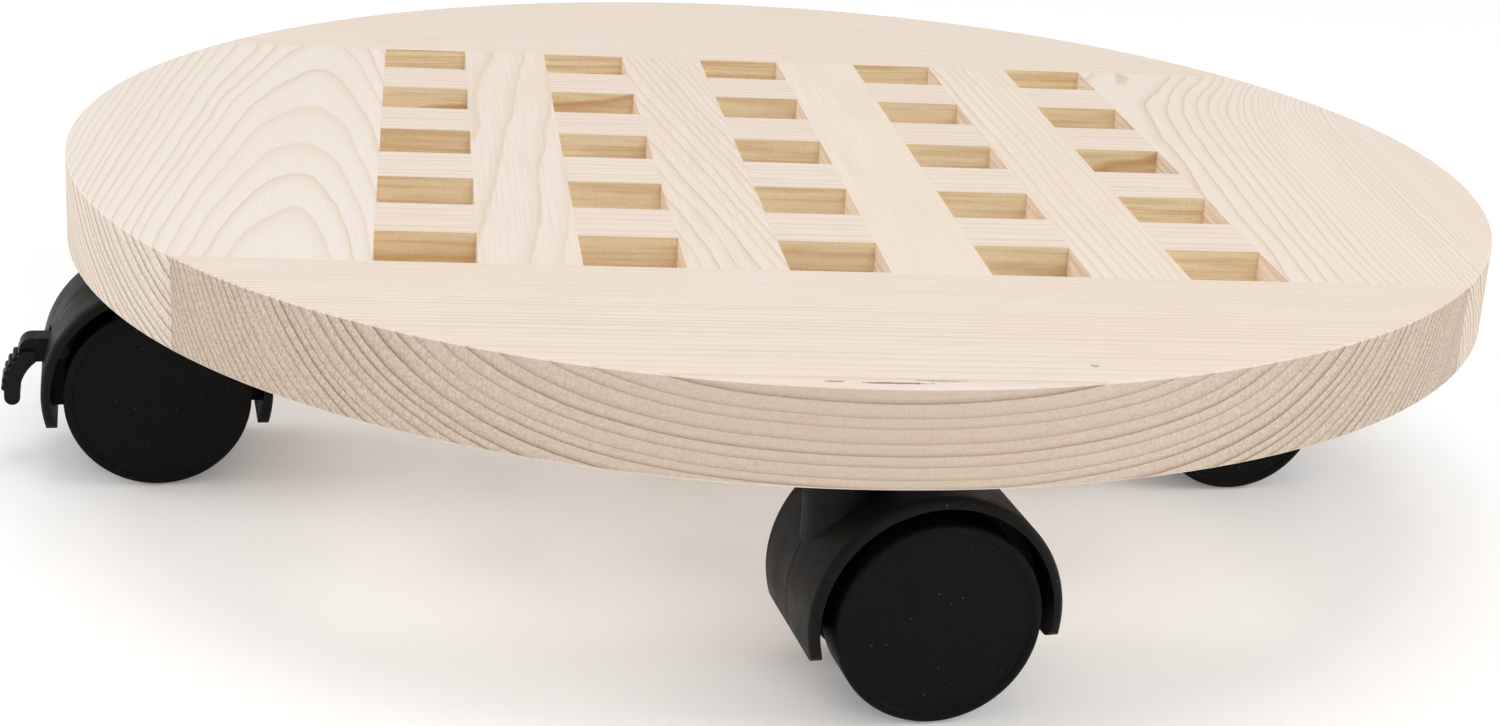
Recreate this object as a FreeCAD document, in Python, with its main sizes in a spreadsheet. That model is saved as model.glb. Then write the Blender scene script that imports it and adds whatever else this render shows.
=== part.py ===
import FreeCAD, Part
import math
import os
import re
import Sketcher

# Round slatted plant pot caddy on four swivelling twin-wheel casters.
# Frame: millimetres, +Z up, origin on the floor below the centre of the deck.
# The deck is a disc of boards round a lattice of half-lapped slats.
# Each caster is modelled in a frame of its own: its swivel axis is local Z, and
# local +X is the direction in which the wheels trail behind that axis.

doc = FreeCAD.newDocument("plant_pot_caddy")
sheet = doc.addObject("Spreadsheet::Sheet", "Dims")

DIMENSIONS = {
    # deck
    "deck_radius": 150.0,
    "deck_thickness": 18.0,
    "deck_underside": 53.0,
    "rim_bevel": 0.3,
    # lattice: slats and holes are equally wide, so one pitch serves both
    "pitch_across": 19.1,
    "pitch_along": 18.9,
    "lattice_shift": -2.5,
    "dowel_radius": 3.0,
    "dowel_length": 20.0,
    "corner_dowel_inset": 11.0,
    # caster top plate, screws and kingpin
    "plate_side": 38.0,
    "plate_thickness": 2.0,
    "plate_corner": 5.0,
    "screw_offset": 14.5,
    "screw_radius": 1.75,
    "screw_length": 13.0,
    "screw_tip": 3.0,
    "screw_head_radius": 3.6,
    "screw_head_depth": 2.0,
    "recess_length": 3.6,
    "recess_width": 0.8,
    "recess_depth": 1.1,
    "kingpin_radius": 4.0,
    "kingpin_bottom": 30.0,
    "swivel_gap": 0.4,
    # twin wheels
    "trail": 14.5,
    "wheel_radius": 19.2,
    "wheel_inner": 7.0,
    "wheel_outer": 17.4,
    "wheel_edge": 0.9,
    "face_ring": 17.5,
    "face_step": 0.25,
    "tread_wall": 3.0,
    "face_wall": 2.6,
    "hub_radius": 6.0,
    "spoke_width": 1.6,
    "spoke_count": 6.0,
    "axle_radius": 3.0,
    "axle_half": 14.4,
    "running_clearance": 0.05,
    # hood
    "hood_radius": 23.8,
    "hood_wall": 2.0,
    "hood_half": 16.0,
    "hood_round": 1.5,
    "web_half": 6.0,
    "web_bottom": 14.3,
    "web_hub": 6.5,
    "boss_radius": 7.2,
    "boss_foot": 27.5,
    "stem_leg_bottom": 12.0,
    "trail_leg_bottom": 14.5,
    "brake_leg_bottom": 12.0,
    "leg_corner": 3.0,
    "seam_width": 0.3,
    "seam_depth": 0.25,
    # brake pedal, placed from the wheel centre
    "pedal_pivot_out": 19.5,
    "pedal_pivot_up": 6.8,
    "pedal_eye": 2.8,
    "pedal_pin_radius": 1.5,
    "arm_half": 2.6,
    "arm_radius": 2.6,
    "arm_end_out": 25.6,
    "arm_end_up": 6.2,
    "slot_gap": 0.5,
    "slot_low": 2.3,
    # the pedal's hooked pad, a ring sector that ends in a rounded toe
    "hook_out": 19.9,
    "hook_drop": 2.8,
    "hook_radius": 11.6,
    "hook_wall": 3.3,
    "hook_start": 24.8,
    "hook_top": 6.2,
    "pad_half": 3.8,
    "toe_length": 1.1,
    "rib_radius": 0.6,
    "rib_count": 6.0,
    "rib_step": 8.5,
}

for row, (name, value) in enumerate(DIMENSIONS.items(), start=1):
    sheet.set(f"A{row}", name)
    sheet.set(f"B{row}", str(value))
    sheet.setAlias(f"B{row}", name)
doc.recompute()

# Each caster: its name, the polar place of its swivel axis on the deck
# (degrees, millimetres), the direction its wheels trail in, and its brake.
CASTERS = [
    ("front", -90.7, 115.2, 7.5, False),
    ("left", 182.0, 118.3, 186.6, True),
    ("right", 0.5, 116.9, 186.3, True),
    ("back", 90.0, 117.0, 68.0, False),
]

sub_parts = []


def dim(name):
    """The present value of one driving dimension."""
    return float(sheet.get(name))


def refer(text):
    """Points the words of a formula that are driving dimensions at the sheet."""
    return re.sub(r"[a-z_]+", lambda word: f"Dims.{word[0]}" if word[0] in DIMENSIONS else word[0], text)


def bind(thing, **formulas):
    """Binds properties to formulas; at_x, at_y and at_z are the position."""
    for name, text in formulas.items():
        path = f".Placement.Base.{name[-1]}" if name.startswith("at_") else name
        thing.setExpression(path, refer(text))
    return thing


def turned(thing, axis, degrees):
    """Turns a primitive about its own origin."""
    thing.Placement.Rotation = FreeCAD.Rotation(FreeCAD.Vector(*axis), degrees)
    return thing


def box(name, **formulas):
    return bind(doc.addObject("Part::Box", name), **formulas)


def cylinder(name, **formulas):
    return bind(doc.addObject("Part::Cylinder", name), **formulas)


def cross_cylinder(name, radius, half, **formulas):
    """A cylinder along Y, centred on the middle plane."""
    thing = turned(doc.addObject("Part::Cylinder", name), (1, 0, 0), 90)
    return bind(thing, Radius=radius, Height=f"2 * ( {half} )", at_y=half, **formulas)


def fuse(name, shapes):
    thing = doc.addObject("Part::MultiFuse", name)
    thing.Shapes = shapes
    return thing


def cut(name, base, tool):
    thing = doc.addObject("Part::Cut", name)
    thing.Base = base
    thing.Tool = tool
    return thing


def common(name, shapes):
    thing = doc.addObject("Part::MultiCommon", name)
    thing.Shapes = shapes
    return thing


def compound(name, shapes):
    thing = doc.addObject("Part::Compound", name)
    thing.Links = shapes
    return thing


def eased(kind, name, base, size, wanted):
    """Fillets or chamfers the edges of a base object that the test picks."""
    doc.recompute()
    edges = enumerate(base.Shape.Edges, start=1)
    thing = doc.addObject(f"Part::{kind}", name)
    thing.Base = base
    thing.Edges = [(index, dim(size), dim(size)) for index, edge in edges if wanted(edge)]
    return thing


def is_circle(edge):
    return isinstance(edge.Curve, Part.Circle)


def is_low_and_along(edge):
    """The lower edges of a leg's bounds that run along X."""
    low = edge.BoundBox
    return low.XLength > dim("hood_radius") and low.ZMax < dim("wheel_radius")


def is_under_head(edge):
    """The lower rim of a screw head."""
    middle = dim("deck_underside") - dim("plate_thickness") - 0.5 * dim("screw_head_depth")
    return is_circle(edge) and edge.Vertexes[0].Z < middle


def finished(thing, label, place=None):
    """Names a sub-part and sets it in its place on the caddy."""
    thing.Label = label
    if place is not None:
        thing.Placement = place
    sub_parts.append(thing)
    return thing


def body_plane(body, role):
    return next(item for item in body.Origin.OriginFeatures if item.Role == role)


def sketch_on(body, name, role, offset=None):
    """A sketch on one of the body's own origin planes, raised by a formula."""
    sketch = body.newObject("Sketcher::SketchObject", name)
    sketch.AttachmentSupport = [(body_plane(body, role), "")]
    sketch.MapMode = "FlatFace"
    if offset is not None:
        sketch.setExpression(".AttachmentOffset.Base.z", refer(offset))
    return sketch


def place_point(sketch, name, geometry, corner, across, up):
    """Fixes one point of a sketch by two formulas."""
    for kind, axis, text in (("DistanceX", "x", across), ("DistanceY", "y", up)):
        index = sketch.addConstraint(Sketcher.Constraint(kind, -1, 1, geometry, corner, 1.0))
        sketch.renameConstraint(index, f"{name}_{axis}")
        sketch.setExpression(f"Constraints.{name}_{axis}", refer(text))


def outline(sketch, name, corners):
    """A closed outline of straight lines through corners given as formulas."""
    first = sketch.GeometryCount
    count = len(corners)
    for i in range(count):
        start = FreeCAD.Vector(math.cos(2 * math.pi * i / count), math.sin(2 * math.pi * i / count), 0)
        turn = 2 * math.pi * (i + 1) / count
        sketch.addGeometry(Part.LineSegment(start, FreeCAD.Vector(math.cos(turn), math.sin(turn), 0)))
    for i in range(count):
        following = first + (i + 1) % count
        sketch.addConstraint(Sketcher.Constraint("Coincident", first + i, 2, following, 1))
    for i, (across, up) in enumerate(corners):
        place_point(sketch, f"{name}_{i}", first + i, 1, across, up)


def circle(sketch, name, across, up, radius):
    """A circle whose centre and radius are formulas."""
    index = sketch.addGeometry(Part.Circle(FreeCAD.Vector(0, 0, 0), FreeCAD.Vector(0, 0, 1), 1.0))
    place_point(sketch, name, index, 3, across, up)
    size = sketch.addConstraint(Sketcher.Constraint("Radius", index, 1.0))
    sketch.renameConstraint(size, f"{name}_radius")
    sketch.setExpression(f"Constraints.{name}_radius", refer(radius))


def pad(body, name, sketch, length):
    feature = body.newObject("PartDesign::Pad", name)
    feature.Profile = sketch
    feature.setExpression("Length", refer(length))
    return feature


def pocket(body, name, sketch, length):
    feature = body.newObject("PartDesign::Pocket", name)
    feature.Profile = sketch
    feature.setExpression("Length", refer(length))
    return feature


def polar_pattern(body, name, feature, count, axis):
    pattern = body.newObject("PartDesign::PolarPattern", name)
    pattern.Originals = [feature]
    pattern.Axis = (body_plane(body, axis), [""])
    pattern.Angle = 360
    pattern.Occurrences = count
    body.Tip = pattern
    return pattern


# ---------------------------------------------------------------- deck

HALF_ACROSS = "4.5 * pitch_across"
FRONT_JOINT = "lattice_shift - 4.5 * pitch_along"
BACK_JOINT = "lattice_shift + 4.5 * pitch_along"
LATTICE_DEPTH = "9 * pitch_along"
BEYOND = "deck_radius + 10"


def slat_place(number):
    """Multiples of the pitch from the lattice centre: -3, -1, 1 and 3."""
    return 2 * number - 5


def make_dowels():
    """Beech dowels: one in every slat end and one in every corner between boards."""
    rods = []

    def rod(along_x, **place):
        axis = (0, 1, 0) if along_x else (1, 0, 0)
        thing = doc.addObject("Part::Cylinder", "dowel")
        turned(thing, axis, 90 if along_x else -90)
        bind(thing, Radius="dowel_radius", Height="dowel_length")
        bind(thing, at_z="deck_underside + 0.5 * deck_thickness", **place)
        rods.append(thing)

    for joint in (FRONT_JOINT, BACK_JOINT):
        start = f"{joint} - 0.5 * dowel_length"
        for number in range(1, 5):
            rod(False, at_x=f"{slat_place(number)} * pitch_across", at_y=start)
        for side in ("-1", "1"):
            rod(False, at_x=f"{side} * ( {HALF_ACROSS} + corner_dowel_inset )", at_y=start)
    for side in ("-1", "1"):
        start = f"{side} * {HALF_ACROSS} - 0.5 * dowel_length"
        for number in range(1, 5):
            rod(True, at_x=start, at_y=f"lattice_shift + {slat_place(number)} * pitch_along")
    return finished(compound("dowels", rods), "dowels")


def make_lap_blocks(upper):
    """Half-thickness blocks at the sixteen crossings of the lattice."""
    blocks = []
    level = "deck_underside + 0.5 * deck_thickness" if upper else "deck_underside"
    for column in range(1, 5):
        for row in range(1, 5):
            block = box("lap_block", Length="pitch_across", Width="pitch_along")
            bind(block, Height="0.5 * deck_thickness", at_z=level)
            bind(block, at_x=f"( {slat_place(column)} - 0.5 ) * pitch_across")
            bind(block, at_y=f"lattice_shift + ( {slat_place(row)} - 0.5 ) * pitch_along")
            blocks.append(block)
    return compound("upper_laps" if upper else "lower_laps", blocks)


def make_slats(fixings):
    """Four long slats on top, four cross slats let in flush beneath them."""
    lower_laps = make_lap_blocks(False)
    upper_laps = make_lap_blocks(True)
    for number in range(1, 5):
        bar = box(f"long_bar_{number}", Length="pitch_across", Width=LATTICE_DEPTH)
        bind(bar, Height="deck_thickness", at_z="deck_underside", at_y=FRONT_JOINT)
        bind(bar, at_x=f"( {slat_place(number)} - 0.5 ) * pitch_across")
        notched = cut(f"long_notched_{number}", bar, lower_laps)
        finished(cut(f"long_slat_{number}", notched, fixings), f"long_slat_{number}")
    for number in range(1, 5):
        bar = box(f"cross_bar_{number}", Length="9 * pitch_across", Width="pitch_along")
        bind(bar, Height="deck_thickness", at_z="deck_underside", at_x=f"-1 * {HALF_ACROSS}")
        bind(bar, at_y=f"lattice_shift + ( {slat_place(number)} - 0.5 ) * pitch_along")
        notched = cut(f"cross_notched_{number}", bar, upper_laps)
        finished(cut(f"cross_slat_{number}", notched, fixings), f"cross_slat_{number}")


def make_boards(fixings):
    """Four boards that make up the round rim, cut from one disc."""
    disc = cylinder("disc", Radius="deck_radius", Height="deck_thickness", at_z="deck_underside")
    blank = eased("Chamfer", "eased_disc", disc, "rim_bevel", is_circle)
    outside = f"-1 * ( {BEYOND} )"
    full_width = f"2 * ( {BEYOND} )"
    regions = {
        "front_board": (outside, full_width, outside, f"{FRONT_JOINT} + {BEYOND}"),
        "back_board": (outside, full_width, BACK_JOINT, BEYOND),
        "left_board": (outside, f"{BEYOND} - {HALF_ACROSS}", FRONT_JOINT, LATTICE_DEPTH),
        "right_board": (HALF_ACROSS, BEYOND, FRONT_JOINT, LATTICE_DEPTH),
    }
    for name, (low_x, size_x, low_y, size_y) in regions.items():
        region = box(f"{name}_region", Length=size_x, Width=size_y)
        bind(region, Height="deck_thickness", at_x=low_x, at_y=low_y, at_z="deck_underside")
        sawn = common(f"{name}_sawn", [blank, region])
        finished(cut(name, sawn, fixings), name)


# ---------------------------------------------------------------- caster, fixed to the deck


def make_plate(name, place):
    """Square steel top plate with a kingpin hole and four screw holes."""
    body = doc.addObject("PartDesign::Body", f"{name}_plate")
    face = sketch_on(body, f"{name}_plate_outline", "XY_Plane", "deck_underside - plate_thickness")
    low, high = "-0.5 * plate_side", "0.5 * plate_side"
    outline(face, "side", [(low, low), (high, low), (high, high), (low, high)])
    slab = pad(body, f"{name}_plate_pad", face, "plate_thickness")
    doc.recompute()
    corners = body.newObject("PartDesign::Fillet", f"{name}_plate_corners")
    upright = [
        f"Edge{index}"
        for index, edge in enumerate(slab.Shape.Edges, start=1)
        if abs(edge.tangentAt(edge.FirstParameter).z) > 0.9
    ]
    corners.Base = (slab, upright)
    corners.setExpression("Radius", refer("plate_corner"))
    pin_hole = sketch_on(body, f"{name}_pin_hole", "XY_Plane", "deck_underside")
    circle(pin_hole, "pin", "0", "0", "kingpin_radius")
    pocket(body, f"{name}_pin_pocket", pin_hole, "plate_thickness")
    screw_hole = sketch_on(body, f"{name}_screw_hole", "XY_Plane", "deck_underside")
    circle(screw_hole, "screw", "screw_offset", "screw_offset", "screw_radius + running_clearance")
    hole = pocket(body, f"{name}_screw_pocket", screw_hole, "plate_thickness")
    polar_pattern(body, f"{name}_screw_holes", hole, 4, "Z_Axis")
    return finished(body, f"{name}_top_plate", place)


def make_screws(name, place):
    """Four cross-recess pan-head wood screws, driven up through the plate."""
    screws = []
    plate_low = "deck_underside - plate_thickness"
    head_low = f"{plate_low} - screw_head_depth"
    for side_x in (-1, 1):
        for side_y in (-1, 1):
            spot = {"at_x": f"{side_x} * screw_offset", "at_y": f"{side_y} * screw_offset"}
            head = cylinder("screw_head", Radius="screw_head_radius", Height="screw_head_depth", **spot)
            bind(head, at_z=head_low)
            domed = eased("Fillet", "screw_dome", head, "recess_depth", is_under_head)
            shank = cylinder("screw_shank", Radius="screw_radius", **spot)
            bind(shank, Height="screw_length - screw_tip", at_z=plate_low)
            tip = bind(doc.addObject("Part::Cone", "screw_tip"), Radius1="screw_radius", Radius2="0", **spot)
            bind(tip, Height="screw_tip", at_z=f"{plate_low} + screw_length - screw_tip")
            whole = fuse("screw_whole", [domed, shank, tip])
            slots = []
            for long_way, wide_way in (("recess_length", "recess_width"), ("recess_width", "recess_length")):
                slot = box("screw_slot", Length=long_way, Width=wide_way, Height="recess_depth")
                bind(slot, at_z=head_low)
                bind(slot, at_x=f"{side_x} * screw_offset - 0.5 * {long_way}")
                bind(slot, at_y=f"{side_y} * screw_offset - 0.5 * {wide_way}")
                slots.append(slot)
            screws.append(cut("screw", whole, fuse("screw_recess", slots)))
    return finished(compound(f"{name}_screws", screws), f"{name}_screws", place)


def make_kingpin(name, place):
    """Steel pin pressed into the plate, on which the hood swivels."""
    pin = cylinder(f"{name}_kingpin", Radius="kingpin_radius", Height="deck_underside - kingpin_bottom")
    foot = FreeCAD.Placement(FreeCAD.Vector(0, 0, dim("kingpin_bottom")), FreeCAD.Rotation())
    return finished(pin, f"{name}_kingpin", place.multiply(foot))


# ---------------------------------------------------------------- caster, swivelling

PEDAL_X = "trail + pedal_pivot_out"
PEDAL_PIN = {"at_x": PEDAL_X, "at_z": "wheel_radius + pedal_pivot_up"}


def make_hood(name, place, braked):
    """Moulded hood: a rounded drum over both wheels, a stem boss and a middle web."""
    axle = {"at_x": "trail", "at_z": "wheel_radius"}
    drum = cross_cylinder(f"{name}_drum", "hood_radius", "hood_half", **axle)
    shell = eased("Fillet", f"{name}_drum_round", drum, "hood_round", is_circle)
    boss_top = "deck_underside - plate_thickness - swivel_gap"
    boss = cylinder(f"{name}_boss", Radius="boss_radius", Height=f"{boss_top} - boss_foot", at_z="boss_foot")
    whole = fuse(f"{name}_hood_whole", [shell, boss])
    trail_leg = "brake_leg_bottom" if braked else "trail_leg_bottom"
    legs = fuse(f"{name}_legs", [
        make_leg_bounds(f"{name}_stem_leg", "trail - 2 * hood_radius", "stem_leg_bottom"),
        make_leg_bounds(f"{name}_trail_leg", "trail", trail_leg),
    ])
    solid = common(f"{name}_hood_solid", [whole, legs])

    inside = "hood_radius - hood_wall"
    wells = []
    for side in (-1, 1):
        well = turned(doc.addObject("Part::Cylinder", f"{name}_wheel_well"), (1, 0, 0), 90)
        start = "web_half" if side < 0 else "web_half + hood_half"
        bind(well, Radius=inside, Height="hood_half", at_y=f"{side} * ( {start} )", **axle)
        wells.append(well)

    under_web = box(f"{name}_under_web", Length="2 * hood_radius", Width="2 * web_half")
    bind(under_web, Height="web_bottom", at_x="trail - hood_radius", at_y="-1 * web_half")
    web_drum = cross_cylinder(f"{name}_web_drum", inside, "web_half", **axle)
    web_low = common(f"{name}_web_low", [under_web, web_drum])
    web_hub = cross_cylinder(f"{name}_web_hub", "web_hub", "web_half", **axle)
    web_relief = cut(f"{name}_web_relief", web_low, web_hub)

    bore = cylinder(f"{name}_kingpin_bore", Radius="kingpin_radius + running_clearance")
    bind(bore, Height="deck_underside", at_z="kingpin_bottom - swivel_gap")
    axle_hole = cross_cylinder(f"{name}_axle_hole", "axle_radius", "web_half", **axle)
    removed = [*wells, web_relief, bore, axle_hole, make_seam(name)]
    if braked:
        slot = box(f"{name}_pedal_slot", Width="2 * ( arm_half + slot_gap )")
        bind(slot, Length="hood_radius", at_y="-1 * ( arm_half + slot_gap )")
        bind(slot, at_x=f"{PEDAL_X} - pedal_eye - slot_gap", at_z="wheel_radius + slot_low")
        bind(slot, Height="pedal_pivot_up + pedal_eye + slot_gap - slot_low")
        pin_hole = cross_cylinder(f"{name}_pin_hole", "pedal_pin_radius", "web_half", **PEDAL_PIN)
        removed += [slot, pin_hole]
    hollow = fuse(f"{name}_hood_hollow", removed)
    return finished(cut(f"{name}_hood_cut", solid, hollow), f"{name}_hood", place)


def make_leg_bounds(name, low_x, level):
    """The space that one end of the hood fills, down to its leg's rounded lower corners."""
    half = "( hood_half + 0.1 )"
    bounds = box(name, Length="2 * hood_radius", Width=f"2 * {half}", Height="deck_underside - " + level)
    bind(bounds, at_x=low_x, at_y=f"-1 * {half}", at_z=level)
    return eased("Fillet", f"{name}_bounds", bounds, "leg_corner", is_low_and_along)


def make_seam(name):
    """The groove where the two halves of the moulding meet, over the drum and the boss."""
    sheet_cut = box(f"{name}_seam_plane", Length="4 * hood_radius", Width="seam_width")
    bind(sheet_cut, Height="deck_underside", at_x="trail - 2 * hood_radius", at_y="-0.5 * seam_width")
    core_drum = cross_cylinder(f"{name}_seam_drum", "hood_radius - seam_depth", "hood_half")
    bind(core_drum, at_x="trail", at_z="wheel_radius")
    core_boss = cylinder(f"{name}_seam_boss", Radius="boss_radius - seam_depth", Height="deck_underside")
    bind(core_boss, at_z="wheel_radius")
    return cut(f"{name}_seam", sheet_cut, fuse(f"{name}_seam_core", [core_drum, core_boss]))


def make_axle(name, place):
    """Steel axle pressed through the web; both wheels run on its ends."""
    rod = cross_cylinder(f"{name}_axle_rod", "axle_radius", "axle_half")
    bind(rod, at_x="trail", at_z="wheel_radius")
    return finished(compound(f"{name}_axle_part", [rod]), f"{name}_axle", place)


def make_wheel(name, side, place):
    """One of the twin wheels: a dished moulding with a hub, spokes and a plain outer face."""
    body = doc.addObject("PartDesign::Body", f"{name}_wheel")
    profile = sketch_on(body, f"{name}_wheel_profile", "XY_Plane")
    bore = "axle_radius + running_clearance"
    bore_end = "axle_half + 0.3"
    floor = "wheel_outer - face_wall"
    rim = "wheel_radius - tread_wall"
    outline(profile, "edge", [
        (bore, "wheel_inner"),
        ("hub_radius", "wheel_inner"),
        ("hub_radius", floor),
        (rim, floor),
        (rim, "wheel_inner"),
        ("wheel_radius - 0.5 * wheel_edge", "wheel_inner"),
        ("wheel_radius", "wheel_inner + 0.5 * wheel_edge"),
        ("wheel_radius", "wheel_outer - wheel_edge"),
        ("wheel_radius - 0.3 * wheel_edge", "wheel_outer - 0.3 * wheel_edge"),
        ("wheel_radius - wheel_edge", "wheel_outer"),
        ("face_ring", "wheel_outer"),
        ("face_ring - face_step", "wheel_outer - face_step"),
        ("0", "wheel_outer - face_step"),
        ("0", bore_end),
        (bore, bore_end),
    ])
    disc = body.newObject("PartDesign::Revolution", f"{name}_wheel_turned")
    disc.Profile = profile
    disc.ReferenceAxis = (profile, ["V_Axis"])
    disc.Angle = 360
    doc.recompute()
    web = sketch_on(body, f"{name}_spoke_outline", "XZ_Plane", f"-1 * ( {floor} ) - 0.1")
    half = "0.5 * spoke_width"
    outline(web, "spoke", [
        ("hub_radius - 0.5", f"-1 * {half}"),
        (f"{rim} + 0.5", f"-1 * {half}"),
        (f"{rim} + 0.5", half),
        ("hub_radius - 0.5", half),
    ])
    spoke = pad(body, f"{name}_spoke", web, f"{floor} - wheel_inner - 1.5")
    doc.recompute()
    polar_pattern(body, f"{name}_spokes", spoke, int(dim("spoke_count")), "Y_Axis")
    turn = FreeCAD.Rotation(FreeCAD.Vector(0, 0, 1), 0 if side > 0 else 180)
    centre = FreeCAD.Vector(dim("trail"), 0, dim("wheel_radius"))
    label = f"{name}_wheel_{'a' if side > 0 else 'b'}"
    return finished(body, label, place.multiply(FreeCAD.Placement(centre, turn)))


def make_pedal(name, place):
    """Hooked brake pedal: an eye on the pin, a narrow arm and a wider ribbed pad."""
    eye = cross_cylinder(f"{name}_eye", "pedal_eye", "arm_half", **PEDAL_PIN)
    knuckle = cross_cylinder(f"{name}_knuckle", "arm_radius", "arm_half")
    bind(knuckle, at_x="trail + arm_end_out", at_z="wheel_radius + arm_end_up")
    arm = box(f"{name}_arm", Length="arm_end_out - pedal_pivot_out", Width="2 * arm_half")
    bind(arm, Height="2 * arm_radius", at_x=PEDAL_X, at_y="-1 * arm_half")
    bind(arm, at_z="wheel_radius + arm_end_up - arm_radius")

    centre = {"at_x": "trail + hook_out", "at_z": "wheel_radius - hook_drop"}
    outer = cross_cylinder(f"{name}_hook_outer", "hook_radius", "pad_half", **centre)
    inner = cross_cylinder(f"{name}_hook_inner", "hook_radius - hook_wall", "pad_half", **centre)
    reach = box(f"{name}_hook_reach", Length="hook_radius", Width="2 * pad_half", at_y="-1 * pad_half")
    bind(reach, at_x="trail + hook_start", at_z="wheel_radius - hook_drop", Height="hook_drop + hook_top")
    band = common(f"{name}_hook_band", [cut(f"{name}_hook_ring", outer, inner), reach])
    toe = box(f"{name}_toe", Length="hook_wall", Width="2 * pad_half", Height="toe_length")
    bind(toe, at_x="trail + hook_out + hook_radius - hook_wall", at_y="-1 * pad_half")
    bind(toe, at_z="wheel_radius - hook_drop - toe_length")
    tip = cross_cylinder(f"{name}_toe_tip", "0.5 * hook_wall", "pad_half")
    bind(tip, at_x="trail + hook_out + hook_radius - 0.5 * hook_wall")
    bind(tip, at_z="wheel_radius - hook_drop - toe_length")

    ribs = []
    for number in range(int(dim("rib_count"))):
        turn = f"( {number} + 0.5 ) * rib_step * 1 deg"
        rib = cross_cylinder(f"{name}_rib", "rib_radius", "pad_half - rib_radius")
        bind(rib, at_x=f"trail + hook_out + hook_radius * cos( {turn} )")
        bind(rib, at_z=f"wheel_radius - hook_drop + hook_radius * sin( {turn} )")
        ribs.append(rib)

    moulding = fuse(f"{name}_pedal_moulding", [eye, arm, knuckle, band, toe, tip, *ribs])
    moulding.Refine = True
    bore_radius = "pedal_pin_radius + running_clearance"
    bore = cross_cylinder(f"{name}_pedal_bore", bore_radius, "pad_half", **PEDAL_PIN)
    return finished(cut(f"{name}_pedal", moulding, bore), f"{name}_brake_pedal", place)


def make_pedal_pin(name, place):
    """Steel pin held in both cheeks of the web."""
    rod = cross_cylinder(f"{name}_pin_rod", "pedal_pin_radius", "web_half", **PEDAL_PIN)
    return finished(compound(f"{name}_pin_part", [rod]), f"{name}_brake_pin", place)


# ---------------------------------------------------------------- assembly

fixed_hardware = [make_dowels()]
for caster, bearing, radius, heading, braked in CASTERS:
    turn = math.radians(bearing)
    spot = FreeCAD.Vector(radius * math.cos(turn), radius * math.sin(turn), 0)
    upright = FreeCAD.Placement(spot, FreeCAD.Rotation())
    swung = FreeCAD.Placement(spot, FreeCAD.Rotation(FreeCAD.Vector(0, 0, 1), heading))
    make_plate(caster, upright)
    fixed_hardware.append(make_screws(caster, upright))
    make_kingpin(caster, upright)
    make_hood(caster, swung, braked)
    make_axle(caster, swung)
    make_wheel(caster, 1, swung)
    make_wheel(caster, -1, swung)
    if braked:
        make_pedal(caster, swung)
        make_pedal_pin(caster, swung)

fixings = compound("fixings", fixed_hardware)
make_boards(fixings)
make_slats(fixings)
doc.recompute()

# ---------------------------------------------------------------- checks and export

for thing in doc.Objects:
    if "Invalid" in thing.State or "Error" in thing.State:
        raise RuntimeError(f"{thing.Name} ({thing.Label}) failed: {thing.State}")
for thing in sub_parts:
    if thing.Shape.isNull() or not thing.Shape.isValid():
        raise RuntimeError(f"{thing.Label} has no valid shape")

os.makedirs("parts", exist_ok=True)
for thing in sub_parts:
    thing.Shape.exportStep(f"parts/{thing.Label}.step")
    size = thing.Shape.BoundBox
    print(f"{thing.Label:20s} solids {len(thing.Shape.Solids):2d} volume {thing.Shape.Volume:10.1f}",
          f"x {size.XMin:7.1f} {size.XMax:7.1f} y {size.YMin:7.1f} {size.YMax:7.1f}",
          f"z {size.ZMin:6.1f} {size.ZMax:6.1f}")
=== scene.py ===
import math

import bpy
from mathutils import Matrix, Vector

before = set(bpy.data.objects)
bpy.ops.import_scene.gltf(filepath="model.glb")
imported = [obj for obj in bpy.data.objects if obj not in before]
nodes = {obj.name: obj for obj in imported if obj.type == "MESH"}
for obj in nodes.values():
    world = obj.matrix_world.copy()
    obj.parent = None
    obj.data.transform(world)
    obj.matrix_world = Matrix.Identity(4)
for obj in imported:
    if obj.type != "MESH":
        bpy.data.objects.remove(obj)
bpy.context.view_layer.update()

# Round slatted plant pot caddy: raw pine boards and slats on black moulded casters.
# Everything is in metres, except inside the wood and plastic shaders, which work in millimetres.

scene = bpy.context.scene

MM = 0.001
TO_MM = (1000, 1000, 1000)
MOST_NOISE = (0.3, 0.7)             # the levels that nearly all noise lies between

HOODS = [n for n in nodes if n.endswith("_hood")]
PEDALS = [n for n in nodes if n.endswith("_pedal")]
WHEELS = [n for n in nodes if "_wheel_" in n]
PLATES = [n for n in nodes if n.endswith("_top_plate")]
SCREWS = [n for n in nodes if n.endswith("_screws")]
BRIGHT = [n for n in nodes if n.endswith(("_kingpin", "_axle"))]
PINS = [n for n in nodes if n.endswith("_brake_pin")]
TIMBERS = [n for n in nodes if n.endswith("_board") or "_slat_" in n]


# ---------------------------------------------------------------- shader writing


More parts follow.
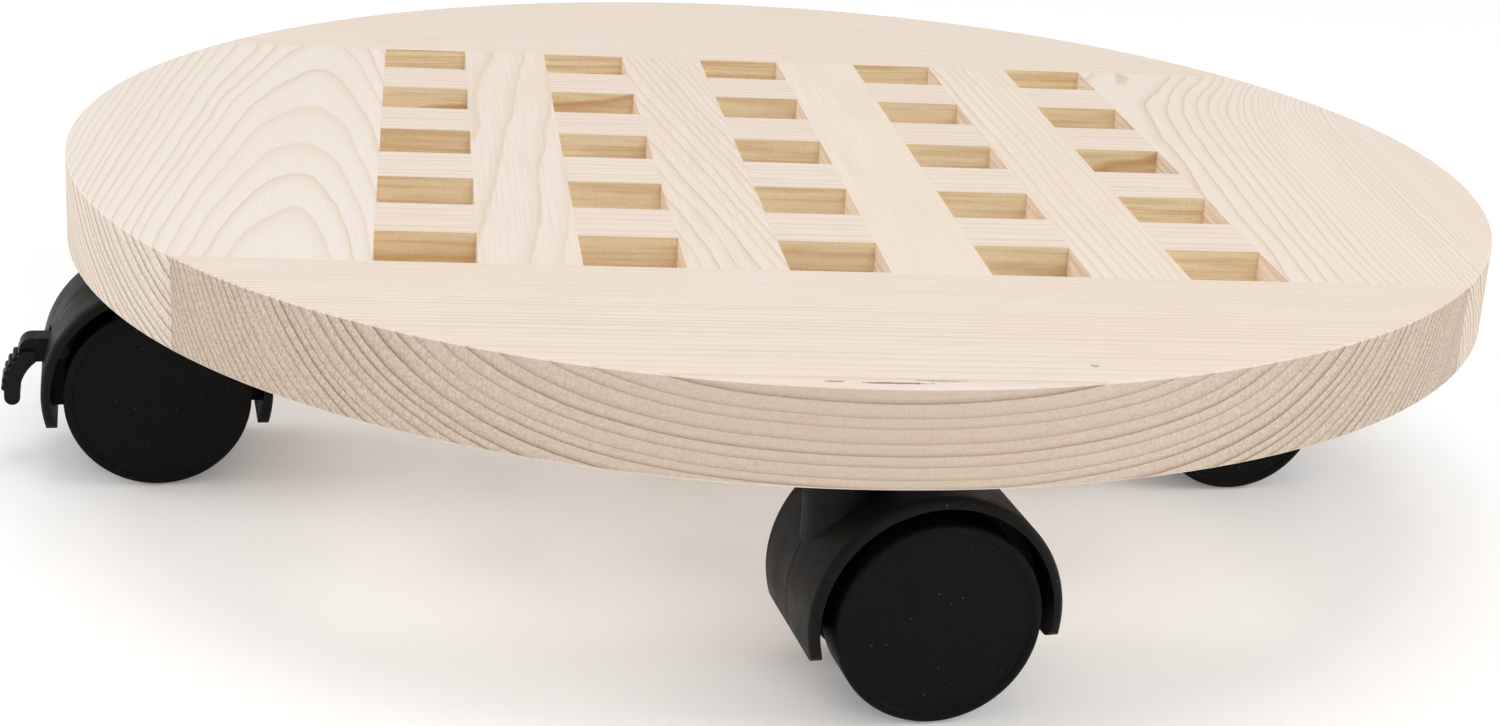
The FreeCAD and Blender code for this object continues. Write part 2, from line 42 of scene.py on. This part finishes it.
class Shader:
    """Short calls for building one node tree."""

    def __init__(self, tree):
        self.tree = tree

    def put(self, value, slot):
        """Sets a node's input to a number or colour, or links another node's output to it."""
        if isinstance(value, bpy.types.NodeSocket):
            self.tree.links.new(value, slot)
        else:
            slot.default_value = value

    def add(self, kind, settings=None, **inputs):
        """A node with its settings and its inputs, given by name or as i0, i1 and so on."""
        node = self.tree.nodes.new(kind)
        for key, value in (settings or {}).items():
            setattr(node, key, value)
        for key, value in inputs.items():
            numbered = key[0] == "i" and key[1:].isdigit()
            self.put(value, node.inputs[int(key[1:]) if numbered else key])
        return node

    def math(self, operation, a, b=0.0, c=0.0, clamp=False):
        settings = {"operation": operation, "use_clamp": clamp}
        return self.add("ShaderNodeMath", settings, i0=a, i1=b, i2=c).outputs[0]

    def product(self, a, b):
        return self.math("MULTIPLY", a, b)

    def square_sum(self, a, b):
        return self.math("ADD", self.product(a, a), self.product(b, b))

    def vector(self, operation, a, b):
        return self.add("ShaderNodeVectorMath", {"operation": operation}, i0=a, i1=b).outputs[0]

    def combine(self, x, y, z):
        return self.add("ShaderNodeCombineXYZ", None, i0=x, i1=y, i2=z).outputs[0]

    def split(self, vector):
        return self.add("ShaderNodeSeparateXYZ", None, i0=vector).outputs

    def noise(self, vector, scale=1.0, detail=2.0, roughness=0.5, output="Fac"):
        """Noise from 0 to 1, or three such noises as a colour."""
        node = self.add("ShaderNodeTexNoise", None, Vector=vector, Scale=scale, Detail=detail,
                        Roughness=roughness)
        return node.outputs[output]

    def ramp(self, value, stops):
        """Grey level from listed stops (place, level)."""
        node = self.add("ShaderNodeValToRGB", None, Fac=value)
        node.color_ramp.interpolation = "LINEAR"
        marks = node.color_ramp.elements
        while len(marks) < len(stops):
            marks.new(0.5)
        for mark, (place, level) in zip(marks, stops):
            mark.position = place
            mark.color = (level, level, level, 1)
        return node.outputs[0]

    def span(self, value, low, high, to_low=0.0, to_high=1.0):
        """Smooth step of a value from one range to another."""
        node = self.add("ShaderNodeMapRange", {"interpolation_type": "SMOOTHSTEP"}, i0=value)
        for slot, number in zip(node.inputs[1:5], (low, high, to_low, to_high)):
            slot.default_value = number
        return node.outputs[0]

    def mix(self, factor, a, b, kind="MIX"):
        """Blend of two colours."""
        node = self.add("ShaderNodeMix", {"data_type": "RGBA", "blend_type": kind}, i0=factor)
        for slot, colour in ((node.inputs[6], a), (node.inputs[7], b)):
            self.put((*colour, 1) if isinstance(colour, tuple) else colour, slot)
        return node.outputs[2]

    def tinted(self, colour, tint):
        """A colour times another."""
        return self.mix(1.0, colour, tint, "MULTIPLY")

    def bump(self, height, distance, strength):
        node = self.add("ShaderNodeBump", None, Height=height, Distance=distance, Strength=strength)
        return node.outputs[0]


def new_material(name):
    """A material with a Principled shader, and the writer for its tree."""
    material = bpy.data.materials.new(name)
    material.use_nodes = True
    material.node_tree.nodes.clear()
    pen = Shader(material.node_tree)
    surface = pen.add("ShaderNodeBsdfPrincipled")
    pen.add("ShaderNodeOutputMaterial", None, Surface=surface.outputs[0])
    return material, pen, surface.inputs


def srgb(red, green, blue):
    """Linear colour of 8-bit screen values."""
    return tuple(((c / 255 + 0.055) / 1.055) ** 2.4 for c in (red, green, blue))


def dress(names, material):
    for name in names:
        slots = nodes[name].data.materials
        slots.clear()
        slots.append(material)


# ---------------------------------------------------------------- pine

EARLY_WOOD = srgb(235, 225, 215)
LATE_WOOD = srgb(208, 176, 130)
LATE_CUT = srgb(138, 104, 68)       # late wood on the sawn rim
LATE_WALL = srgb(188, 146, 98)      # and on the hole walls
FIBRE = srgb(216, 194, 170)
CLOUD = srgb(233, 215, 198)
BLEMISH = srgb(120, 84, 58)
OLD_STREAK = srgb(186, 150, 108)    # darker streaks on the hole walls

RIM_TINT = (0.96, 0.92, 0.86)       # what the sawn rim does to the colour
# Painted shade: the sawn rim's colour darkened by about a fifth on the front board, whose rim faces
# the front soft box.
FRONT_RIM_PAINTED_SHADE = (0.80, 0.75, 0.69)
Y_WALL_PAINTED_LIGHT = (1.14, 1.09, 0.84)      # painted light: lifts the hole walls that face Y above their own colour and warms them golden, like light bounced inside the holes
X_WALL_PAINTED_LIGHT = (1.16, 1.12, 1.06)      # painted light: lifts the hole walls that face X, as the left soft box lights them
WALL_REACH = (126, 138)             # millimetres from the centre: hole walls inside, rim outside

# How fast each pattern changes, per millimetre: along the grain, and across it.
PITH_DRIFT = (0.010, 0.03)
RING_RIPPLE = (0.035, 0.12)
FIBRES = (0.03, 1.9)
CLOUDS = (0.012, 0.05)
STREAKS = (0.03, 0.9)

# The noise levels between which each pattern fades in.
FIBRE_FADE = (0.40, 0.70)
CLOUD_FADE = (0.40, 0.75)
STREAK_FADE = (0.42, 0.66)
PORE_FADE = (0.36, 0.62)

# How far a face's normal has turned to an axis, where a kind of face begins and where it is full.
END_GRAIN_TURN = (0.12, 0.75)
FLAT_TURN = (0.2, 0.8)
SIDE_TURN = (0.4, 0.6)

SEED_STEP = 137.0                   # how far apart two boards' patterns are read
DRIFT_SIZE = 3.0                    # sideways drift of the pith line, against a board's wander
RIPPLE_SIZE = 0.8                   # and the ripple of its rings
RING_UNEVENNESS = 1.4               # how unevenly the rings are spaced, in rings
LATE_BAND = ((0.0, 0.0), (0.55, 0.05), (0.82, 0.45), (0.92, 1.0), (0.97, 0.6), (1.0, 0.0))
WEAKEST_RING = 0.55                 # the palest ring against the darkest
SAWN_CONTRAST = 0.30                # how much stronger the rings are on a sawn face
END_CONTRAST = 0.15                 # and on end grain
X_WALL_LIGHT_CONTRAST_LOSS = 0.75               # how much of the ring contrast the hole walls that face X lose under their painted light
STREAK_STRENGTH = 0.40
CLOUD_STRENGTH = 0.35
PORE_SCALE = 2.1                    # per millimetre
PORE_SHADES = (0.78, 1.08)          # darkest and lightest speck on torn fibres
TORN_END = 0.75                     # how torn the fibres are on end grain
TORN_SAWN = 0.25                    # and how much a sawn face adds
PORE_RELIEF = 4.0                   # depth of the pores against that of a ring or fibre
RELIEF = 0.1 * MM
PINE_ROUGHNESS = (0.62, 0.74)
RAGGED_SCALE = 900.0                # noise that breaks up a blemish's outline, per metre
RAGGEDNESS = 3.0
MARK_DEPTH = 0.8                    # how far down a blemish goes, in millimetres
MARK_EDGE = (0.5, 1.1)              # where a blemish begins and ends to fade, as a share of its size


def grained(pen, place, rates, shift):
    """Where to read noise that is drawn out along the grain. place is (along, across, up)."""
    along, across, up = place
    lengthwise, crosswise = rates
    return pen.combine(pen.math("MULTIPLY_ADD", along, lengthwise, shift),
                       pen.product(across, crosswise), pen.product(up, crosswise))


def late_wood(pen, place, pith, lean, first_ring, growth, wander, bend, shift):
    """0 in the pale early wood, 1 in the dark late wood of the strongest rings."""
    along, across, up = place
    drift = pen.noise(grained(pen, place, PITH_DRIFT, shift), output="Color")
    drift = pen.split(pen.vector("SUBTRACT", drift, (0.5, 0.5, 0.5)))
    pith_across = pen.math("MULTIPLY_ADD", along, lean[0], pith[0])
    pith_up = pen.math("MULTIPLY_ADD", along, lean[1], pith[1])
    if bend:
        size, middle, reach = bend
        distance = pen.math("DIVIDE", pen.math("SUBTRACT", along, middle), reach)
        swell = pen.math("EXPONENT", pen.product(pen.product(distance, distance), -1.0))
        pith_across = pen.math("ADD", pith_across, pen.product(swell, size))
    off_across = pen.math("SUBTRACT", across, pith_across)
    off_across = pen.math("MULTIPLY_ADD", drift[0], DRIFT_SIZE * wander, off_across)
    off_up = pen.math("SUBTRACT", up, pith_up)
    off_up = pen.math("MULTIPLY_ADD", drift[1], DRIFT_SIZE * wander, off_up)
    radius = pen.math("SQRT", pen.square_sum(off_across, off_up))

    ripple = pen.noise(grained(pen, place, RING_RIPPLE, shift), detail=3.0)
    ripple = pen.math("SUBTRACT", ripple, 0.5)
    radius = pen.math("MULTIPLY_ADD", ripple, RIPPLE_SIZE * wander, radius)
    rings = pen.math("POWER", pen.math("DIVIDE", radius, first_ring), growth)
    uneven = pen.noise(pen.combine(rings, shift, 0.0), scale=0.45, detail=1.0)
    rings = pen.math("MULTIPLY_ADD", uneven, RING_UNEVENNESS, rings)
    late = pen.ramp(pen.math("FRACT", rings), LATE_BAND)
    ring_id = pen.math("ADD", pen.math("FLOOR", rings), shift)
    force = pen.add("ShaderNodeTexWhiteNoise", {"noise_dimensions": "1D"}, W=ring_id)
    return pen.product(late, pen.span(force.outputs["Value"], 0.0, 1.0, WEAKEST_RING, 1.0))


def blemished(pen, colour, coord, at, marks):
    """Small brown stains. marks has (x, y, z, half length, half width, darkness), in millimetres."""
    ragged = pen.noise(coord.outputs["Object"], RAGGED_SCALE, detail=3.0, roughness=0.7)
    for x, y, z, half_length, half_width, darkness in marks:
        off = pen.vector("SUBTRACT", at, (x, y, z))
        off = pen.split(pen.vector("DIVIDE", off, (half_length, half_width, MARK_DEPTH)))
        reach = pen.math("ADD", pen.square_sum(off[0], off[1]), pen.product(off[2], off[2]))
        edge = pen.math("MULTIPLY_ADD", pen.math("SUBTRACT", ragged, 0.5), RAGGEDNESS, reach)
        colour = pen.mix(pen.span(edge, *MARK_EDGE, darkness, 0.0), colour, BLEMISH)
    return colour


def pine(name, grain, pith, first_ring, contrast, shade, seed, growth=1.8, lean=(0, 0), wander=1.5,
         bend=None, marks=(), rim_tone_and_painted_shade=RIM_TINT, streaks=0.32):
    """Solid pine: rings round a pith line, so faces cut from one board all agree.

    grain is the trunk's direction; pith is the pith line's place across it, and lean its slope.
    The ring number is (radius / first_ring) ** growth, so rings narrow as the trunk grows.
    bend is an extra sideways swell of the rings: (size, place along the grain, reach).
    The rim tint argument is the sawn rim's own tone, darkened on the front board as painted shade;
    streaks is how much the fibres show.
    """
    material, pen, surface = new_material(name)
    coord = pen.add("ShaderNodeTexCoord")
    at = pen.vector("MULTIPLY", coord.outputs["Object"], TO_MM)
    x, y, up = pen.split(at)
    place = (x, y, up) if grain == "x" else (y, x, up)
    shift = SEED_STEP * seed
    late = late_wood(pen, place, pith, lean, first_ring, growth, wander, bend, shift)

    # Which kind of face this is, each from 0 to 1.
    normal = pen.split(coord.outputs["Normal"])
    along_grain = pen.math("ABSOLUTE", normal[0] if grain == "x" else normal[1])
    end_grain = pen.span(along_grain, *END_GRAIN_TURN)
    sawn = pen.span(pen.math("ABSOLUTE", normal[2]), *FLAT_TURN, 1.0, 0.0)
    inside = pen.span(pen.math("SQRT", pen.square_sum(x, y)), *WALL_REACH, 1.0, 0.0)
    facing_x = pen.span(pen.math("ABSOLUTE", normal[0]), *SIDE_TURN)
    # Hole walls that face X, which get painted light: paler colour and weaker rings.
    x_wall_painted_light_mask = pen.product(pen.product(facing_x, inside), sawn)
    torn = pen.math("MULTIPLY_ADD", end_grain, TORN_END, pen.product(sawn, TORN_SAWN))

    fibre = pen.noise(grained(pen, place, FIBRES, shift), detail=4.0, roughness=0.6)
    cloud = pen.noise(grained(pen, place, CLOUDS, shift))
    streak = pen.noise(grained(pen, place, STREAKS, shift), detail=3.0, roughness=0.6)
    pores_at = pen.combine(x, y, pen.product(up, 0.8))
    pores = pen.noise(pores_at, PORE_SCALE, detail=3.0, roughness=0.65)

    strength = pen.math("MULTIPLY_ADD", end_grain, END_CONTRAST, contrast)
    strength = pen.math("MULTIPLY_ADD", sawn, SAWN_CONTRAST, strength)
    strength = pen.product(strength, pen.math("MULTIPLY_ADD", x_wall_painted_light_mask, -X_WALL_LIGHT_CONTRAST_LOSS, 1.0))
    dark_ring = pen.mix(sawn, LATE_WOOD, pen.mix(inside, LATE_CUT, LATE_WALL))
    colour = pen.mix(pen.math("MULTIPLY", late, strength, clamp=True), EARLY_WOOD, dark_ring)
    colour = pen.mix(pen.span(fibre, *FIBRE_FADE, 0.0, streaks), colour, FIBRE)
    colour = pen.mix(pen.span(cloud, *CLOUD_FADE, 0.0, CLOUD_STRENGTH), colour, CLOUD)
    speckle = pen.span(pores, *PORE_FADE, *PORE_SHADES)
    colour = pen.mix(torn, colour, pen.tinted(colour, pen.combine(speckle, speckle, speckle)))
    old = pen.product(pen.span(streak, *STREAK_FADE), STREAK_STRENGTH)
    colour = pen.mix(pen.product(pen.product(inside, sawn), old), colour, OLD_STREAK)
    # Sawn faces: the rim's own tone (painted shade on the front board's rim) and painted light on
    # the hole walls.
    tint = pen.mix(inside, rim_tone_and_painted_shade, pen.mix(facing_x, Y_WALL_PAINTED_LIGHT, X_WALL_PAINTED_LIGHT))
    colour = pen.mix(sawn, colour, pen.tinted(colour, tint))
    colour = pen.tinted(colour, shade)
    if marks:
        colour = blemished(pen, colour, coord, at, marks)

    relief = pen.math("MULTIPLY_ADD", late, 0.5, pen.product(fibre, 0.5))
    relief = pen.math("MULTIPLY_ADD", pen.product(torn, pores), PORE_RELIEF, relief)
    pen.put(colour, surface["Base Color"])
    pen.put(pen.span(fibre, *MOST_NOISE, *PINE_ROUGHNESS), surface["Roughness"])
    pen.put(0.3, surface["Specular IOR Level"])
    pen.put(pen.bump(relief, RELIEF, 0.9), surface["Normal"])
    return material


FRONT_MARKS = (
    (0.0, -147.4, 71.0, 6.0, 0.5, 0.75),
    (-10.0, -147.0, 71.0, 2.2, 0.45, 0.6),
    (36.0, -137.2, 71.0, 0.8, 0.9, 0.45),
    (8.0, -146.0, 71.0, 5.0, 0.4, 0.5),
)

BOARDS = {
    # The front board's rim takes the darkened rim tint: painted shade.
    "front": dict(grain="x", pith=(-160, 92), first_ring=9.94, growth=1.78, contrast=0.55,
                  wander=0.5, shade=(0.99, 0.965, 0.945), marks=FRONT_MARKS, rim_tone_and_painted_shade=FRONT_RIM_PAINTED_SHADE,
                  seed=1),
    "back": dict(grain="x", pith=(60, 25), lean=(0.03, 0), first_ring=9.0, growth=1.7,
                 contrast=0.35, wander=1.2, shade=(0.99, 0.965, 0.94), seed=2),
    "left": dict(grain="y", pith=(-102.5, 95), lean=(0.0, 0.083), first_ring=9.55, growth=1.81,
                 contrast=0.60, wander=1.0, shade=(1.0, 1.0, 1.01), streaks=0.12, seed=3),
    "right": dict(grain="y", pith=(80, 40), lean=(0.07, 0.0), first_ring=10.0, growth=1.9,
                  contrast=0.60, wander=1.3, shade=(0.995, 0.975, 0.955), bend=(15, 92, 30),
                  streaks=0.15, seed=4),
}

LONG_SLATS = (
    dict(pith=(-75, 30), lean=(0.02, 0.03), first_ring=10.0, growth=1.5, contrast=0.40, wander=1.5,
         shade=(0.99, 0.98, 0.96)),
    dict(pith=(-56, 25), lean=(-0.14, 0), first_ring=8.0, growth=1.6, contrast=0.62, wander=1.0,
         shade=(0.99, 0.965, 0.94)),
    dict(pith=(25, -5), lean=(-0.02, 0.02), first_ring=9.0, growth=1.5, contrast=0.12, wander=1.0,
         shade=(1.0, 0.985, 0.95)),
    dict(pith=(20, 50), lean=(-0.02, 0), first_ring=9.5, growth=1.7, contrast=0.52, wander=1.2,
         shade=(1.0, 0.985, 0.95)),
)

CROSS_SLAT = dict(lean=(0.01, 0.01), first_ring=12.0, growth=1.4, contrast=0.55, wander=1.2,
                  shade=(0.985, 0.955, 0.94))
DOWEL = dict(pith=(0, -200), first_ring=14.0, contrast=0.2, shade=(0.86, 0.72, 0.55), seed=40)


def dress_deck():
    """Each board and slat is its own piece of timber."""
    for side, timber in BOARDS.items():
        dress([f"{side}_board"], pine(f"pine_{side}", **timber))
    for number, timber in enumerate(LONG_SLATS, start=1):
        dress([f"long_slat_{number}"], pine(f"pine_long_{number}", "y", seed=10 + number, **timber))
    for number in range(1, 5):
        timber = pine(f"pine_cross_{number}", "x", pith=(-160, 90 - 15 * number), seed=20 + number,
                      **CROSS_SLAT)
        dress([f"cross_slat_{number}"], timber)
    dress(["dowels"], pine("beech_dowel", "x", **DOWEL))


# ---------------------------------------------------------------- plastic and steel

DUST = srgb(106, 100, 95)
DUST_FADE = (0.735, 0.79)           # only the highest noise becomes a speck
SCUFF_STRETCH = (0.25, 0.25, 2.2)
PLASTIC_TONES = (0.6, 1.5)          # darkest and lightest mottle against the tone asked for
STAINED_STEEL = 0.82


def plastic(name, tone, roughness, gloss, grain_size, grain_depth):
    """Black moulded plastic with a fine cast texture, scuffs and a few dusty specks."""
    material, pen, surface = new_material(name)
    coord = pen.add("ShaderNodeTexCoord")
    at = pen.vector("MULTIPLY", coord.outputs["Object"], TO_MM)
    mottle = pen.noise(at, scale=0.09, detail=3.0, roughness=0.6)
    grain = pen.noise(at, scale=1.0 / grain_size, detail=3.0, roughness=0.65)
    specks = pen.span(pen.noise(at, scale=1.4, roughness=0.4), *DUST_FADE)
    scuffs = pen.noise(pen.vector("MULTIPLY", at, SCUFF_STRETCH), detail=3.0, roughness=0.6)
    darkest, lightest = (tuple(share * c for c in tone) for share in PLASTIC_TONES)
    colour = pen.mix(mottle, darkest, lightest)
    colour = pen.mix(pen.product(specks, 0.5), colour, DUST)
    wear = pen.span(mottle, *MOST_NOISE, roughness - 0.10, roughness + 0.04)
    pen.put(colour, surface["Base Color"])
    pen.put(pen.math("MULTIPLY_ADD", scuffs, 0.10, wear), surface["Roughness"])
    pen.put(gloss, surface["Specular IOR Level"])
    pen.put(pen.bump(grain, grain_depth, 0.8), surface["Normal"])
    return material


def steel(name, tone, roughness, brush):
    """Plated or drawn steel with fine brushing and slight staining."""
    material, pen, surface = new_material(name)
    coord = pen.add("ShaderNodeTexCoord")
    brushed = pen.vector("MULTIPLY", coord.outputs["Object"], brush)
    streak = pen.noise(brushed, scale=1000.0, detail=3.0, roughness=0.6)
    stain = pen.noise(coord.outputs["Object"], scale=120.0, detail=3.0, roughness=0.6)
    stained = tuple(STAINED_STEEL * c for c in tone)
    pen.put(pen.mix(stain, stained, tone), surface["Base Color"])
    pen.put(1.0, surface["Metallic"])
    wear = pen.span(streak, *MOST_NOISE, roughness - 0.08, roughness + 0.1)
    pen.put(wear, surface["Roughness"])
    pen.put(pen.bump(streak, 0.02 * MM, 0.5), surface["Normal"])
    return material


BRUSHED_ALONG_Y = (1, 0.08, 1)
BRUSHED_ALONG_Z = (1, 1, 0.08)


def dress_casters():
    dress(HOODS, plastic("black_hood", (0.0060, 0.0055, 0.0050), roughness=0.46, gloss=0.11,
                         grain_size=0.55, grain_depth=0.12 * MM))
    dress(PEDALS, plastic("black_pedal", (0.0045, 0.0042, 0.0040), roughness=0.36, gloss=0.15,
                          grain_size=0.55, grain_depth=0.05 * MM))
    dress(WHEELS, plastic("black_wheel", (0.0032, 0.0031, 0.0030), roughness=0.55, gloss=0.10,
                          grain_size=0.9, grain_depth=0.04 * MM))
    dress(PLATES + SCREWS, steel("zinc_plate", (0.62, 0.63, 0.64), 0.38, BRUSHED_ALONG_Y))
    dress(BRIGHT, steel("bright_steel", (0.58, 0.58, 0.59), 0.30, BRUSHED_ALONG_Z))
    dress(PINS, steel("blackened_steel", (0.03, 0.03, 0.03), 0.40, BRUSHED_ALONG_Y))


# ---------------------------------------------------------------- small edge roundings


EDGE_ROUNDING = 0.12 * MM
WELD_REACH = 0.001 * MM


def soften(names):
    """Joins each piece's faces at their edges, then rounds the sharp edges, as sanding does."""
    for name in names:
        piece = nodes[name]
        weld = piece.modifiers.new("joined", "WELD")
        weld.merge_threshold = WELD_REACH
        bevel = piece.modifiers.new("edges", "BEVEL")
        bevel.width = EDGE_ROUNDING
        bevel.segments = 2
        bevel.limit_method = "ANGLE"
        bevel.angle_limit = math.radians(35)
        bevel.use_clamp_overlap = True


# ---------------------------------------------------------------- studio

CAMERA_PLACE = (-0.0792, -0.5399, 0.2140)
CAMERA_YAW = 7.965       # degrees clockwise from +Y, seen from above
CAMERA_PITCH = 19.451    # looking down
CAMERA_ROLL = 3.726
CAMERA_LENS = 62.27

FLOOR_REACH = 6.0        # metres from the centre to each side of the paper
FLOOR_DROP = 0.2 * MM    # keeps the paper just clear of the wheels
PAPER_GLOW = 0.15
PAPER_WHITES = ((0.89, 0.89, 0.89), (0.93, 0.93, 0.93))

SOFT_BOXES = (           # name, place, watts
    ("left_box", (-1.6, 0.1, 0.8), 11.5),
    ("right_box", (1.6, -0.2, 0.7), 10.5),
    ("front_box", (0.2, -1.6, 0.9), 7),
    ("overhead", (0.0, -0.1, 1.5), 6.5),
)
BOX_WIDTH = 1.0
LIT_POINT = (0, 0, 0.05)
ROOM_LIGHT = 0.45


def make_camera():
    yaw, pitch, roll = (math.radians(a) for a in (CAMERA_YAW, CAMERA_PITCH, CAMERA_ROLL))
    forward = Vector((math.sin(yaw) * math.cos(pitch),
                      math.cos(yaw) * math.cos(pitch),
                      -math.sin(pitch)))
    level = Vector((math.cos(yaw), -math.sin(yaw), 0))
    upright = level.cross(forward)
    right = math.cos(roll) * level + math.sin(roll) * upright
    up = -math.sin(roll) * level + math.cos(roll) * upright
    lens = bpy.data.cameras.new("camera")
    lens.lens = CAMERA_LENS
    lens.sensor_width = 36
    lens.clip_start = 0.01
    lens.clip_end = 20
    camera = bpy.data.objects.new("camera", lens)
    turn = Matrix((right, up, -forward)).transposed().to_4x4()
    camera.matrix_world = Matrix.Translation(CAMERA_PLACE) @ turn
    scene.collection.objects.link(camera)
    scene.camera = camera


def make_floor():
    """A wide pale sheet of studio paper, with a faint glow that keeps it near white."""
    reach = FLOOR_REACH
    mesh = bpy.data.meshes.new("floor")
    corners = [(-reach, -reach, 0), (reach, -reach, 0), (reach, reach, 0), (-reach, reach, 0)]
    mesh.from_pydata(corners, [], [(0, 1, 2, 3)])
    floor = bpy.data.objects.new("floor", mesh)
    floor.location.z = -FLOOR_DROP
    scene.collection.objects.link(floor)
    material, pen, surface = new_material("paper")
    coord = pen.add("ShaderNodeTexCoord")
    fleck = pen.noise(coord.outputs["Object"], scale=60.0, detail=3.0)
    pen.put(pen.mix(fleck, *PAPER_WHITES), surface["Base Color"])
    pen.put((1, 1, 1, 1), surface["Emission Color"])
    pen.put(PAPER_GLOW, surface["Emission Strength"])
    pen.put(0.9, surface["Roughness"])
    pen.put(0.1, surface["Specular IOR Level"])
    mesh.materials.append(material)


def make_light():
    """Soft boxes above, in front and on both sides, the left one brighter, in a pale room."""
    world = bpy.data.worlds.new("studio")
    world.use_nodes = True
    background = world.node_tree.nodes["Background"].inputs
    background["Color"].default_value = (1, 1, 1, 1)
    background["Strength"].default_value = ROOM_LIGHT
    scene.world = world
    for name, place, watts in SOFT_BOXES:
        data = bpy.data.lights.new(name, "AREA")
        data.shape = "DISK"
        data.size = BOX_WIDTH
        data.energy = watts
        light = bpy.data.objects.new(name, data)
        light.location = place
        light.rotation_mode = "QUATERNION"
        light.rotation_quaternion = (Vector(LIT_POINT) - Vector(place)).to_track_quat("-Z", "Y")
        scene.collection.objects.link(light)
    scene.view_settings.view_transform = "Standard"
    scene.view_settings.look = "None"


# ---------------------------------------------------------------- build

dress_deck()
dress_casters()
soften(TIMBERS)
make_camera()
make_floor()
make_light()
